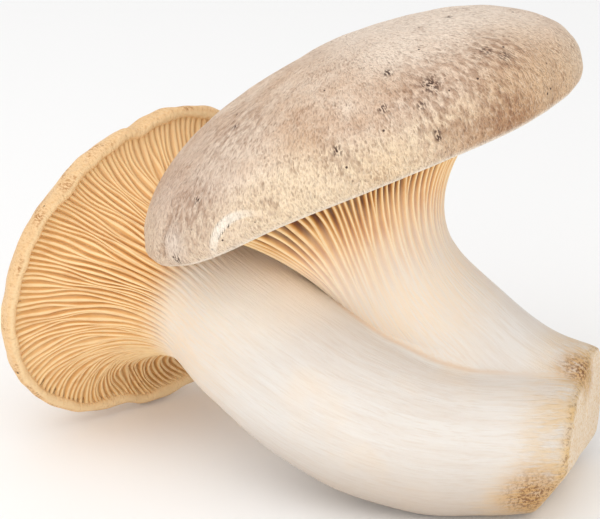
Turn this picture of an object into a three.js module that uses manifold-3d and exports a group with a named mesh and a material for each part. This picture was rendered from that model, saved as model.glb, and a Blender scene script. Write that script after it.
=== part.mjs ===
// Two king oyster mushrooms that grew from one foot and were cut off together.
// They lie on a table: the rear one on the edge of its cap and on its stem,
// the front one above it, with its cap held up. Millimetres, +Z up.
import * as THREE from 'three';
import { mergeVertices } from 'three/addons/utils/BufferGeometryUtils.js';
import Module from 'manifold-3d';

const wasm = await Module();
wasm.setup();

const v3 = (x, y, z) => new THREE.Vector3(x, y, z);

// Driving dimensions
const SEAM = 0.3; // the gap between one piece and the next
const TABLE = 0.4; // how deep the resting spots are flattened by the table

// A stem's centre line runs from inside its cap to beyond the cut foot.
// square is a direction that the stem never runs along.
const STEMS = {
  front: {
    line: [
      v3(15, 31, 76), v3(17, 30, 62), v3(23.5, 29, 47), v3(36, 28, 33),
      v3(49, 24.5, 23.6), v3(62, 21.8, 17.4), v3(78, 20, 14.8),
    ],
    radii: [14, 14.6, 15.8, 16.5, 16.2, 17.1, 16],
    square: v3(0, 1, 0),
  },
  rear: {
    line: [
      v3(-34, 54, 40), v3(-20, 40, 38.7), v3(-8.6, 28, 33.3), v3(2.4, 19, 27.3), v3(14.2, 12, 21.6),
      v3(29, 7.6, 17.2), v3(43, 6.5, 16.2), v3(60, 7.3, 16.3), v3(78, 8.5, 16.5),
    ],
    radii: [16.5, 17.2, 18.5, 18.9, 18.3, 17.2, 16.2, 15.4, 14.5],
    square: v3(0, 0, 1),
  },
};
const STEM_SIDES = 28;
const STEM_ROWS = 20;
const NECK_STEP = 1.5; // the stem is this much thinner where the gills wrap it

// The foot is trimmed by a main cut and by a bevel at its lower corner.
const FOOT_CUTS = [
  { point: v3(66.5, 14, 20), normal: v3(0.965, -0.26, -0.03) },
  { point: v3(59, 2, 8), normal: v3(0.78, -0.33, -0.56) },
];

// A cap's frame: its centre, the way its dome faces, and the way its angle 0 points.
// rim and droop are the edge's radius and its drop, evenly spaced round the cap.
const CAPS = {
  front: {
    centre: v3(15, 32.8, 82),
    dome: v3(-0.348, 0.097, 0.93),
    zero: v3(0.93, 0, 0.348),
    rim: [53, 50.5, 44, 39, 40, 42, 56, 54.5, 43.5, 38, 39, 47.5],
    droop: [0, 0, 0, 0, 1, 3, 5, 5, 1, 0, 0, 0],
    height: 23,
    fullness: 2.1,
    lean: 4, // how far the top of the dome sits towards angle 0
    lip: 5, // how far the rolled edge reaches in under the cap
    roll: 3.6, // how thick the rolled edge is below the widest line
    flesh: 7, // how far the underside rises from the edge to the middle
    gills: {
      count: 60,
      start: 0.3,
      depth: 2.2,
      crest: 0.3,
      sway: 0.02,
      hug: [48, 45, 22, 45], // how long the flare follows the stem, from the right round the back
      level: [64, 55, 44, 50], // how long it runs level before the edge
    },
  },
  rear: {
    centre: v3(-38, 62, 39),
    dome: v3(-0.6, 0.79, 0.04),
    zero: v3(0, 0, 1),
    rim: [38.2, 42, 42, 42.5, 43, 41.2, 38.6, 41.2, 43, 40, 36.8, 35.8],
    droop: [0, 0, 0, 0, 0, 0, 1, 0, 0, 0, 0, 0],
    height: 15,
    fullness: 2.1,
    lean: 0,
    lip: 3.5,
    roll: 1.8,
    flesh: 4,
    gills: {
      count: 72,
      start: 0.14,
      depth: 1.6,
      crest: 0.55,
      sway: 0.05,
      hug: [36],
      level: [34],
    },
  },
};
const CAP_SIDES = 48;
const GILL_ROWS = 9;

// A closed curve through evenly spaced values, read at an angle.
function around(values, angle) {
  const n = values.length;
  const at = (((angle / (2 * Math.PI)) % 1) + 1) % 1 * n;
  const i = Math.floor(at);
  const t = at - i;
  const [a, b, c, d] = [-1, 0, 1, 2].map((k) => values[(i + k + n) % n]);
  return b + 0.5 * t * (c - a + t * (2 * a - 5 * b + 4 * c - d + t * (3 * (b - c) + d - a)));
}

// An open curve through evenly spaced values, read from 0 to 1.
function along(values, t) {
  const last = values.length - 1;
  const i = Math.min(Math.floor(t * last), last - 1);
  const f = t * last - i;
  return THREE.MathUtils.lerp(values[i], values[i + 1], f * f * (3 - 2 * f));
}

// A stem as a curve with its radius and the directions across it.
function stemOf({ line, radii, square }) {
  const curve = new THREE.CatmullRomCurve3(line, false, 'centripetal');
  return {
    square,
    at: (t) => curve.getPoint(t),
    tangent: (t) => curve.getTangent(t),
    radius: (t) => along(radii, t),
  };
}

// Two directions square to an axis, the first as near to a wanted one as can be.
function across(axis, wanted) {
  const first = wanted.clone().addScaledVector(axis, -wanted.dot(axis)).normalize();
  return [first, axis.clone().cross(first)];
}

// A closed sphere grid whose vertices are moved to pointAt(turn, row).
// turn runs from 0 to 1 round the axis, and row from 0 at one pole to rows at the other.
function movedSphere(columns, rows, pointAt) {
  const sphere = new THREE.SphereGeometry(1, columns, rows);
  sphere.deleteAttribute('normal');
  const place = sphere.getAttribute('position');
  const grid = sphere.getAttribute('uv');
  for (let i = 0; i < place.count; i += 1) {
    const row = Math.round((1 - grid.getY(i)) * rows);
    const pole = row === 0 || row === rows;
    const turn = pole ? 0 : Math.round(grid.getX(i) * columns) % columns;
    place.setXYZ(i, ...pointAt(turn / columns, row).toArray());
  }
  sphere.deleteAttribute('uv');
  return mergeVertices(sphere, 1e-4);
}

// A closed geometry as a solid, turned right side out, and a solid as a geometry.
function solidOf(geometry) {
  const solid = new wasm.Manifold(new wasm.Mesh({
    numProp: 3,
    vertProperties: geometry.getAttribute('position').array,
    triVerts: new Uint32Array(geometry.index.array),
  }));
  if (solid.volume() > 0) return solid;
  const turned = geometry.index.array;
  for (let i = 0; i < turned.length; i += 3) [turned[i + 1], turned[i + 2]] = [turned[i + 2], turned[i + 1]];
  return solidOf(geometry);
}

function geometryOf(solid) {
  const mesh = solid.getMesh();
  const geometry = new THREE.BufferGeometry();
  geometry.setAttribute('position', new THREE.BufferAttribute(mesh.vertProperties, mesh.numProp));
  geometry.setIndex(new THREE.BufferAttribute(mesh.triVerts, 1));
  geometry.computeVertexNormals();
  return geometry;
}

// A big block on the far side of a plane, for trimming.
function halfSpace(point, normal) {
  const size = 400;
  const block = new THREE.BoxGeometry(size, size, size);
  const turn = new THREE.Quaternion().setFromUnitVectors(v3(0, 0, 1), normal.clone().normalize());
  block.translate(0, 0, size / 2).applyQuaternion(turn).translate(...point.toArray());
  block.deleteAttribute('normal');
  block.deleteAttribute('uv');
  return solidOf(mergeVertices(block, 1e-4));
}

// The solid of a stem from t0 to t1, grown by extra. Past neck it thins to fit inside the gills.
function stemSolid(stem, extra, neck) {
  const rowPlaces = [0, neck - 0.002, neck + 0.002];
  for (let k = 1; k <= STEM_ROWS; k += 1) {
    const t = k / STEM_ROWS;
    if (Math.abs(t - neck) > 0.01) rowPlaces.push(t);
  }
  rowPlaces.sort((a, b) => a - b);
  const rows = rowPlaces.length + 1;
  const geometry = movedSphere(STEM_SIDES, rows, (turn, row) => {
    const t = rowPlaces[THREE.MathUtils.clamp(row - 1, 0, rowPlaces.length - 1)];
    const centre = stem.at(t);
    if (row === 0 || row === rows) return centre;
    const [a, b] = across(stem.tangent(t), stem.square);
    const angle = 2 * Math.PI * turn;
    const radius = stem.radius(t) + extra - (t < neck ? NECK_STEP : 0);
    return centre.addScaledVector(a, radius * Math.cos(angle)).addScaledVector(b, radius * Math.sin(angle));
  });
  return solidOf(geometry);
}

// A cap's frame with its rim, as functions of the angle round it.
function capOf(cap) {
  const axis = cap.dome.clone().normalize();
  const [ex, ey] = across(axis, cap.zero);
  const out = (angle) => ex.clone().multiplyScalar(Math.cos(angle)).addScaledVector(ey, Math.sin(angle));
  // A point at a radius and a height over the rim's plane, which droops with the rim.
  const place = (angle, radius, height) => {
    const share = radius / around(cap.rim, angle);
    return cap.centre.clone()
      .addScaledVector(out(angle), radius)
      .addScaledVector(ex, cap.lean * Math.max(height / cap.height, 0))
      .addScaledVector(axis, height - around(cap.droop, angle) * share * share);
  };
  return { ...cap, axis, out, place, edge: (angle) => around(cap.rim, angle) };
}

// The cap: its dome down to the rolled edge, and a shallow hollow underneath.
function capSolid(cap) {
  const domeRows = 9;
  const rollRows = 4;
  const rows = domeRows + rollRows + 2;
  return solidOf(movedSphere(CAP_SIDES, rows, (turn, row) => {
    const angle = 2 * Math.PI * turn;
    const edge = cap.edge(angle);
    if (row <= domeRows) {
      const share = Math.sin((row / domeRows) * Math.PI / 2);
      const rise = (1 - share ** cap.fullness) ** (1 / cap.fullness);
      return cap.place(angle, edge * share, cap.height * rise);
    }
    if (row <= domeRows + rollRows) {
      const bend = ((row - domeRows) / rollRows) * Math.PI;
      const inward = (cap.lip / 2) * (1 - Math.cos(bend));
      return cap.place(angle, edge - inward, -cap.roll * Math.sin(bend));
    }
    if (row < rows) return cap.place(angle, (edge - cap.lip) / 2, cap.flesh / 2 + SEAM);
    return cap.place(0, 0, cap.flesh + SEAM);
  }));
}

// The flared underside from the stem to the rolled edge, read from 0 at the stem to 1 at the edge.
function flareOf(cap, stem) {
  const { start, hug, level } = cap.gills;
  const foot = stem.at(start);
  const up = stem.tangent(start).negate();
  const radius = stem.radius(start);
  return (angle, s) => {
    const away = cap.out(angle);
    const [spoke] = across(up, away);
    const p0 = foot.clone().addScaledVector(spoke, radius);
    const p1 = cap.place(angle, cap.edge(angle) - cap.lip - SEAM, -SEAM);
    const [h00, h10] = [(1 + 2 * s) * (1 - s) ** 2, s * (1 - s) ** 2];
    const [h01, h11] = [s * s * (3 - 2 * s), s * s * (s - 1)];
    return p0.multiplyScalar(h00)
      .addScaledVector(up, h10 * around(hug, angle))
      .addScaledVector(p1, h01)
      .addScaledVector(away, h11 * around(level, angle));
  };
}

// The gills: blades side by side on a thin bed, from the rolled edge down on to the stem.
function gillSolid(cap, stem) {
  const flare = flareOf(cap, stem);
  const { count, depth, crest, sway, start } = cap.gills;
  const steps = [0, 0.5 - crest / 2, 0.5 + crest / 2];
  const columns = count * steps.length;
  const rows = GILL_ROWS + 3;
  const surface = (angle, s) => {
    const bent = angle + sway * Math.sin(5 * angle + 4 * s) * Math.sin(Math.PI * s);
    return flare(bent, s);
  };
  return solidOf(movedSphere(columns, rows, (turn, row) => {
    const column = Math.round(turn * columns);
    const gill = Math.floor(column / steps.length);
    const phase = column % steps.length;
    const angle = (2 * Math.PI * (gill + steps[phase])) / count;
    if (row === 0) return cap.place(0, 0, cap.flesh);
    if (row === 1) return cap.place(angle, (cap.edge(angle) - cap.lip) / 2, cap.flesh / 2);
    if (row === rows) return stem.at(start);
    const s = 1 - (row - 2) / GILL_ROWS;
    const step = 1e-3;
    const outward = surface(angle, s + step).sub(surface(angle, s - step));
    const sideways = surface(angle + step, s).sub(surface(angle - step, s));
    const inward = outward.cross(sideways).normalize();
    const sink = phase === 0 ? depth * (0.08 + 0.92 * Math.sin(Math.PI * s) ** 0.8) : 0;
    return surface(angle, s).addScaledVector(inward, sink);
  }));
}

const group = new THREE.Group();

function addPiece(name, solid, colour, roughness) {
  const material = new THREE.MeshStandardMaterial({ color: colour, roughness, metalness: 0 });
  const mesh = new THREE.Mesh(geometryOf(solid), material);
  mesh.name = name;
  group.add(mesh);
}

// Both stems as one solid, grown by extra.
function bothStems(extra) {
  const [front, rear] = ['front', 'rear'].map((side) => (
    stemSolid(stemOf(STEMS[side]), extra, CAPS[side].gills.start)
  ));
  return front.add(rear);
}

const table = halfSpace(v3(0, 0, TABLE), v3(0, 0, -1));
const stemRoom = bothStems(SEAM);
for (const side of ['front', 'rear']) {
  const cap = capOf(CAPS[side]);
  addPiece(`${side}_cap`, capSolid(cap).subtract(table), 0xcdb59a, 0.8);
  addPiece(`${side}_gills`, gillSolid(cap, stemOf(STEMS[side])).subtract(stemRoom), 0xe0b27a, 0.75);
}
let stems = bothStems(0);
for (const { point, normal } of FOOT_CUTS) stems = stems.subtract(halfSpace(point, normal));
addPiece('stems', stems.subtract(table), 0xf3e8d8, 0.7);

// The origin is on the table under the middle of the cluster.
const bounds = new THREE.Box3().setFromObject(group);
const middle = bounds.getCenter(v3(0, 0, 0));
group.position.set(-middle.x, -middle.y, -bounds.min.z);

export default group;
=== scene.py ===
"""Two king oyster mushrooms that grew from one foot, lying together on a pale table.

The sizes are those of the part's solids: millimetres, +Z up, before the whole cluster is moved
so that the origin lies on the table under its middle.
"""

import logging
import math
from collections.abc import Callable
from dataclasses import dataclass
from enum import Enum
from typing import ClassVar

import bmesh
import bpy
import numpy as np
from mathutils import Matrix, Vector, noise

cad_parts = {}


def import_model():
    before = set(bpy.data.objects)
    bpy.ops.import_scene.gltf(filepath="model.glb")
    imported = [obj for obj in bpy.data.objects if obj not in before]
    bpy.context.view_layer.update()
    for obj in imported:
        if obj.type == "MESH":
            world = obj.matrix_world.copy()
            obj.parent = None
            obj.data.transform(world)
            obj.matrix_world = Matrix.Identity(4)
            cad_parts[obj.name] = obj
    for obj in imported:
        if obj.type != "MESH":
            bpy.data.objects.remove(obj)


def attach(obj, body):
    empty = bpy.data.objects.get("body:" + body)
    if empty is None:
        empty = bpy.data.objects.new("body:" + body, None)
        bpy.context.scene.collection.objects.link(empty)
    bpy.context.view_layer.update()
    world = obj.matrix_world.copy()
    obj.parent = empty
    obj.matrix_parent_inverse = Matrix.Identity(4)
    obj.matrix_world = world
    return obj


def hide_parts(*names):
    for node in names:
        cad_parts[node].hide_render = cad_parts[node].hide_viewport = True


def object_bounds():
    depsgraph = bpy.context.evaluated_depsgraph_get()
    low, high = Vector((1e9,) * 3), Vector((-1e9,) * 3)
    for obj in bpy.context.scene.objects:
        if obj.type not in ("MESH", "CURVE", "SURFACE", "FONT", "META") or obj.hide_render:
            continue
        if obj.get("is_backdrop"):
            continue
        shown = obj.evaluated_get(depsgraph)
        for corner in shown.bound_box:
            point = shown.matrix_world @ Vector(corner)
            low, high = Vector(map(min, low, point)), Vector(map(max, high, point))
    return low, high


LOG = logging.getLogger("mushrooms")
MM = 0.001
CLUSTER_SHIFT = np.array((-0.402, -40.378, -0.4))
BODY = "root"

Array = np.ndarray
Range = tuple[float, float]
Point = tuple[float, float, float]
Colour = tuple[float, float, float, float]
Wire = bpy.types.NodeSocket


def clamp(values: Array) -> Array:
    """Keeps values between 0 and 1."""
    return np.clip(values, 0.0, 1.0)


def unit(vectors: Array) -> Array:
    """Scales vectors along the last axis to length 1."""
    return vectors / np.linalg.norm(vectors, axis=-1, keepdims=True)


def smooth_step(low: float, high: float, values: Array) -> Array:
    """Gives a step from 0 at low to 1 at high, which may lie below low, at each value."""
    share = clamp((values - low) / (high - low))
    return share * share * (3.0 - 2.0 * share)


def turn_from(middle: float, angle: Array) -> Array:
    """Gives the degrees from a middle in degrees to angles in radians, from -180 to 180."""
    return (np.degrees(angle) - middle + 180.0) % 360.0 - 180.0


def around(values: tuple[float, ...], angle: Array) -> Array:
    """Reads a closed curve through evenly spaced values.

    Args:
        values: Evenly spaced values round a full turn.
        angle: Angles in radians.

    Returns:
        The curve's value at each angle.
    """
    ring = np.array(values, float)
    count = len(ring)
    at = (angle / (2.0 * math.pi)) % 1.0 * count
    low = np.floor(at).astype(int)
    t = at - low
    a, b, c, d = (ring[(low + k) % count] for k in (-1, 0, 1, 2))
    return b + 0.5 * t * (c - a + t * (2 * a - 5 * b + 4 * c - d + t * (3 * (b - c) + d - a)))


def across(axis: Array, wanted: Array) -> tuple[Array, Array]:
    """Finds two directions square to an axis.

    Args:
        axis: Unit vectors.
        wanted: The direction that the first result should come nearest to.

    Returns:
        Two unit vectors square to the axis and to each other.
    """
    along = np.sum(axis * wanted, axis=-1, keepdims=True)
    first = unit(wanted - axis * along)
    return first, np.cross(axis, first)


def home(points: Array) -> Array:
    """Moves points in the cluster's own millimetres to their place on the table in metres."""
    return (points + CLUSTER_SHIFT) * MM


def wander(points: Array, size: float, seed: float) -> Array:
    """Reads soft noise at points.

    Args:
        points: Places in millimetres.
        size: The size of the noise's humps in millimetres.
        seed: Where in the noise to read.

    Returns:
        Noise between about -1 and 1 at each point.
    """
    offset = Vector((seed, 2.3 * seed, -seed))
    flat = points.reshape(-1, 3) / size
    values = [noise.noise(Vector(p) + offset) for p in flat]
    return np.array(values).reshape(points.shape[:-1])


@dataclass(frozen=True)
class StemLine:
    """A stem's centre line, from inside its cap to beyond the cut foot, with its radii."""

    points: tuple[Point, ...]
    radii: tuple[float, ...]
    square: Point

    def at(self, t: Array) -> Array:
        """Gives the centre line's points.

        Args:
            t: Places along the line, from 0 to 1.

        Returns:
            Points in millimetres.
        """
        pts = np.array(self.points, float)
        pts = np.vstack((2 * pts[0] - pts[1], pts, 2 * pts[-1] - pts[-2]))
        spans = len(self.points) - 1
        low = np.clip(np.floor(t * spans).astype(int), 0, spans - 1)
        f = (t * spans - low)[..., None]
        p0, p1, p2, p3 = (pts[low + k] for k in range(4))
        d0, d1, d2 = (
            np.sqrt(np.linalg.norm(b - a, axis=-1, keepdims=True))
            for a, b in ((p0, p1), (p1, p2), (p2, p3))
        )
        m1 = ((p1 - p0) / d0 - (p2 - p0) / (d0 + d1) + (p2 - p1) / d1) * d1
        m2 = ((p2 - p1) / d1 - (p3 - p1) / (d1 + d2) + (p3 - p2) / d2) * d1
        c2 = -3 * p1 + 3 * p2 - 2 * m1 - m2
        c3 = 2 * p1 - 2 * p2 + m1 + m2
        return p1 + f * (m1 + f * (c2 + f * c3))

    def tangent(self, t: Array) -> Array:
        """Gives the unit direction of the line towards the foot."""
        step = 1e-4
        return unit(self.at(np.minimum(t + step, 1.0)) - self.at(np.maximum(t - step, 0.0)))

    def radius(self, t: Array) -> Array:
        """Gives the stem's radius, which changes smoothly between the given ones.

        Args:
            t: Places along the line, from 0 to 1.

        Returns:
            The radii in millimetres.
        """
        values = np.array(self.radii, float)
        spans = len(values) - 1
        low = np.clip(np.floor(t * spans).astype(int), 0, spans - 1)
        f = t * spans - low
        f = f * f * (3 - 2 * f)
        return values[low] * (1 - f) + values[low + 1] * f

    def nearest(self, points: Array, samples: int = 400) -> tuple[Array, Array]:
        """Finds where each point lies along the stem.

        Args:
            points: Places in millimetres.
            samples: The number of places along the line that are tried.

        Returns:
            The place along the line, from 0 to 1, and the distance over the stem's radius.
        """
        t = np.linspace(0.0, 1.0, samples)
        line = self.at(t)
        lengths = np.sum(line * line, axis=1)
        best = np.argmin(lengths - 2.0 * points @ line.T, axis=1)
        rest = np.sum((points - line[best]) * self.tangent(t[best]), axis=1)
        place = clamp(t[best] + rest / self.length())
        return place, np.linalg.norm(points - self.at(place), axis=1) / self.radius(place)

    def length(self) -> float:
        """Gives the stem's length in millimetres."""
        return float(np.linalg.norm(np.diff(np.array(self.points, float), axis=0), axis=1).sum())

    def grain(self, points: Array, place: Array) -> Array:
        """Gives the lengths that the stem's fibres are drawn in.

        Args:
            points: Places in millimetres.
            place: Where each one lies along the stem, from 0 to 1.

        Returns:
            Each point's two distances across the stem and its distance along it.
        """
        side, other = across(self.tangent(place), np.array(self.square, float))
        offset = points - self.at(place)
        along = place * self.length()
        return np.stack((np.sum(offset * side, 1), np.sum(offset * other, 1), along), axis=1)


@dataclass(frozen=True)
class Dent:
    """A dip in a cap's outline: its angle and width in degrees, and its depth in millimetres."""

    angle: float
    width: float
    depth: float


@dataclass(frozen=True)
class Fold:
    """A crease pressed into a cap's skin, and the share of its depth that it loses on its way."""

    first: Point
    last: Point
    width: float
    depth: float
    fading: float = 0.5

    def press(self, points: Array) -> Array:
        """Gives how deep the crease is.

        Args:
            points: Places in millimetres.

        Returns:
            The depth at each place in millimetres.
        """
        start = np.array(self.first, float)
        run = np.array(self.last, float) - start
        share = clamp((points - start) @ run / (run @ run))
        gap = np.linalg.norm(points - start - share[:, None] * run, axis=1)
        return self.depth * np.exp(-((gap / self.width) ** 2)) * (1.0 - self.fading * share)


@dataclass(frozen=True)
class CapForm:
    """A cap's dome, its rolled edge, and the frame that its gills share.

    The frame's axis is the dome's direction, and angles run from the zero direction. Rim and droop
    are the edge's radius and how far it hangs, at even steps round the cap. The dome leans towards
    zero by lean. The edge is rolled in by lip and down by roll, and flesh is the flesh's thickness.
    """

    centre: Point
    dome: Point
    zero: Point
    rim: tuple[float, ...]
    droop: tuple[float, ...]
    height: float
    fullness: float
    lean: float
    lip: float
    roll: float
    flesh: float
    dents: tuple[Dent, ...] = ()

    def axes(self) -> tuple[Array, Array, Array]:
        """Gives the cap's frame.

        Returns:
            The dome's direction and the two directions across it.
        """
        axis = unit(np.array(self.dome, float))
        ex, ey = across(axis, np.array(self.zero, float))
        return axis, ex, ey

    def out(self, angle: Array) -> Array:
        """Gives the unit direction away from the axis at each angle."""
        _, ex, ey = self.axes()
        return np.cos(angle)[..., None] * ex + np.sin(angle)[..., None] * ey

    def edge(self, angle: Array) -> Array:
        """Gives the edge's radius, dents included.

        Args:
            angle: Angles round the cap in radians.

        Returns:
            The radii in millimetres.
        """
        radius = around(self.rim, angle)
        for dent in self.dents:
            turn = turn_from(dent.angle, angle)
            radius = radius - dent.depth * np.exp(-((turn / dent.width) ** 2))
        return radius

    def place(self, angle: Array, radius: Array, height: Array) -> Array:
        """Gives places in the cap's frame.

        Args:
            angle: Angles round the cap in radians.
            radius: Distances from its axis in millimetres.
            height: Heights over its drooping rim in millimetres.

        Returns:
            Points in millimetres.
        """
        axis, ex, _ = self.axes()
        share = radius / self.edge(angle)
        lean = self.lean * np.maximum(height / self.height, 0.0)
        rise = height - around(self.droop, angle) * share * share
        return (
            np.array(self.centre, float)
            + self.out(angle) * radius[..., None]
            + lean[..., None] * ex
            + rise[..., None] * axis
        )


@dataclass(frozen=True)
class GillForm:
    """How a cap's gills run from its rolled edge down on to its stem.

    Places along a blade's run are 1 at the cap's edge, 0 where the flare leaves the stem and -1
    at the blade's lower end. Forks, fade and the relief's depths are given at such places. Start
    is where the flare leaves the stem and fall how far the blades run on, both along the stem.
    Hug and level are how strongly the flare follows the stem and runs level at the edge, at even
    steps round the cap. Crest and drift are given over the blades' pitch.
    """

    blades: int
    start: float
    fall: float
    hug: tuple[float, ...]
    level: tuple[float, ...]
    relief: tuple[tuple[float, float], ...]
    crest: Range
    forks: Range
    fade: Range
    sway: float
    drift: float
    seat: float
    warmth: float
    seed: int
    swirl: float = 0.0
    swirl_at: float = 0.0
    swirl_width: float = 42.0
    blush_from: float = 0.05
    blush_reach: float = 0.7

    def blush(self, place: Array) -> Array:
        """Gives how warm the stem's flesh is at places along it, most at the gills."""
        first = self.start + self.blush_from * self.fall
        return self.warmth * smooth_step(first + self.blush_reach * self.fall, first, place)


FRONT_STEM = StemLine(
    points=(
        (15, 31, 76), (17, 30, 62), (23.5, 29, 47), (36, 28, 33),
        (49, 24.5, 23.6), (62, 21.8, 17.4), (78, 20, 14.8),
    ),
    radii=(14, 14.6, 15.8, 16.5, 16.2, 17.1, 16),
    square=(0, 1, 0),
)
REAR_STEM = StemLine(
    points=(
        (-34, 54, 40), (-20, 40, 38.7), (-8.6, 28, 33.3), (2.4, 19, 27.3), (14.2, 12, 21.6),
        (29, 7.6, 17.2), (43, 6.5, 16.2), (60, 7.3, 16.3), (78, 8.5, 16.5),
    ),
    radii=(16.5, 17.2, 18.5, 18.9, 18.3, 17.2, 16.2, 15.4, 14.5),
    square=(0, 0, 1),
)
FRONT_CAP = CapForm(
    centre=(15, 32.8, 82),
    dome=(-0.348, 0.097, 0.93),
    zero=(0.93, 0, 0.348),
    rim=(53, 50.5, 44, 39, 40, 42, 56, 54.5, 43.5, 38, 39, 47.5),
    droop=(0, 0, 0, 0, 1, 3, 5, 5, 1, 0, 0, 0),
    height=23,
    fullness=2.1,
    lean=4,
    lip=5,
    roll=3.6,
    flesh=7,
)
REAR_CAP = CapForm(
    centre=(-38, 62, 39),
    dome=(-0.6, 0.79, 0.04),
    zero=(0, 0, 1),
    rim=(38.2, 42, 42, 42.5, 43, 41.2, 38.6, 41.2, 43, 40, 36.8, 35.8),
    droop=(0, 0, 0, 0, 0, 0, 1, 0, 0, 0, 0, 0),
    height=15,
    fullness=2.1,
    lean=0,
    lip=2.7,
    roll=1.25,
    flesh=4,
    dents=(Dent(358, 5, 1.0), Dent(193, 9, 1.6), Dent(160, 10, 0.8), Dent(318, 6, 0.5)),
)
FRONT_GILLS = GillForm(
    blades=84,
    start=0.3,
    hug=(48, 45, 22, 45),
    level=(64, 55, 44, 50),
    relief=((0.0, 0.0), (0.3, 0.35), (0.6, 1.5), (0.85, 3.0), (1.0, 3.3)),
    crest=(0.05, 0.44),
    forks=(-0.1, 0.5),
    sway=0.011,
    fall=0.4,
    fade=(0.6, -0.05),
    warmth=0.75,
    seat=0.3,
    drift=0.12,
    seed=4,
)
REAR_GILLS = GillForm(
    blades=148,
    start=0.14,
    hug=(36,),
    level=(34,),
    relief=((-0.15, 0.0), (0.0, 0.2), (0.25, 1.0), (0.6, 1.3), (0.85, 1.0), (1.0, 0.6)),
    crest=(0.16, 0.5),
    forks=(0.05, 0.8),
    sway=0.026,
    swirl=0.4,
    swirl_at=180.0,
    fall=0.3,
    fade=(0.26, -0.04),
    warmth=0.8,
    seat=-0.5,
    drift=0.22,
    seed=9,
)

# The two flat cuts through the foot, each a place and the direction that is cut away
FOOT_CUTS = (
    ((66.5, 14, 20), (0.965, -0.26, -0.03)),
    ((59, 2, 8), (0.78, -0.33, -0.56)),
)


def moved_ball(
    columns: int, rows: int, place: Callable[[Array, Array], Array]
) -> tuple[bmesh.types.BMesh, Array]:
    """Closes a grid into a ball, with a pole at each end, and moves its vertices.

    Args:
        columns: The number of faces round the ball.
        rows: The number of faces from pole to pole.
        place: Gives the places in metres for arrays of column and row numbers.

    Returns:
        The moved ball with its faces pointing outwards, and which of the grid's vertices it kept.
    """
    bm = bmesh.new()
    bmesh.ops.create_grid(bm, x_segments=columns, y_segments=rows, size=1.0)
    verts = list(bm.verts)
    flat = (np.array([vert.co.xy for vert in verts]) + 1.0) / 2.0
    column = np.rint(flat[:, 0] * columns).astype(int)
    row = np.rint(flat[:, 1] * rows).astype(int)
    # The poles' rows shrink to their first vertex, and the last column is the first one again
    kept_column = np.where((row == 0) | (row == rows), 0, column % columns)
    kept = column == kept_column
    first = {int(row[index]): verts[index] for index in np.flatnonzero(column == 0)}
    for vert, point in zip(verts, place(kept_column, row)):
        vert.co = point
    merged = {verts[index]: first[int(row[index])] for index in np.flatnonzero(~kept)}
    bmesh.ops.weld_verts(bm, targetmap=merged)
    bmesh.ops.recalc_face_normals(bm, faces=bm.faces)
    return bm, kept


class Substance(Enum):
    """What a finish is made of, by the names of the record's material slots."""

    STEM_FLESH = "stem_flesh"
    CAP_SKIN = "cap_skin"
    GILL_FLESH = "gill_flesh"


def mesh_of(bm: bmesh.types.BMesh, name: str) -> bpy.types.Mesh:
    """Writes a bmesh into a new mesh and frees it.

    Args:
        bm: The bmesh.
        name: The new mesh's name.

    Returns:
        The new mesh.
    """
    mesh = bpy.data.meshes.new(name)
    bm.to_mesh(mesh)
    bm.free()
    return mesh


def read_vertices(mesh: bpy.types.Mesh, what: str) -> Array:
    """Reads three numbers for each vertex of a mesh.

    Args:
        mesh: The mesh.
        what: "co" for the vertices' places, or "normal" for their directions.

    Returns:
        One row for each vertex.
    """
    flat = np.empty(len(mesh.vertices) * 3)
    mesh.vertices.foreach_get(what, flat)
    return flat.reshape(-1, 3)


def points_of(mesh: bpy.types.Mesh) -> Array:
    """Reads a mesh's vertices as the cluster's own millimetres."""
    return read_vertices(mesh, "co") / MM - CLUSTER_SHIFT


def store(mesh: bpy.types.Mesh, name: str, values: Array) -> None:
    """Stores a number or a vector for each vertex of a mesh.

    Args:
        mesh: The mesh.
        name: The attribute's name, which the finishes read.
        values: One number or one row of three for each vertex.
    """
    kind, key = ("FLOAT", "value") if values.ndim == 1 else ("FLOAT_VECTOR", "vector")
    layer = mesh.attributes.new(name, kind, "POINT")
    layer.data.foreach_set(key, values.astype(np.float32).ravel())


class Rule(Enum):
    """How a node joins two numbers."""

    TIMES = "MULTIPLY"
    PLUS = "ADD"
    OVER = "DIVIDE"
    LARGER = "MAXIMUM"


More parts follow.
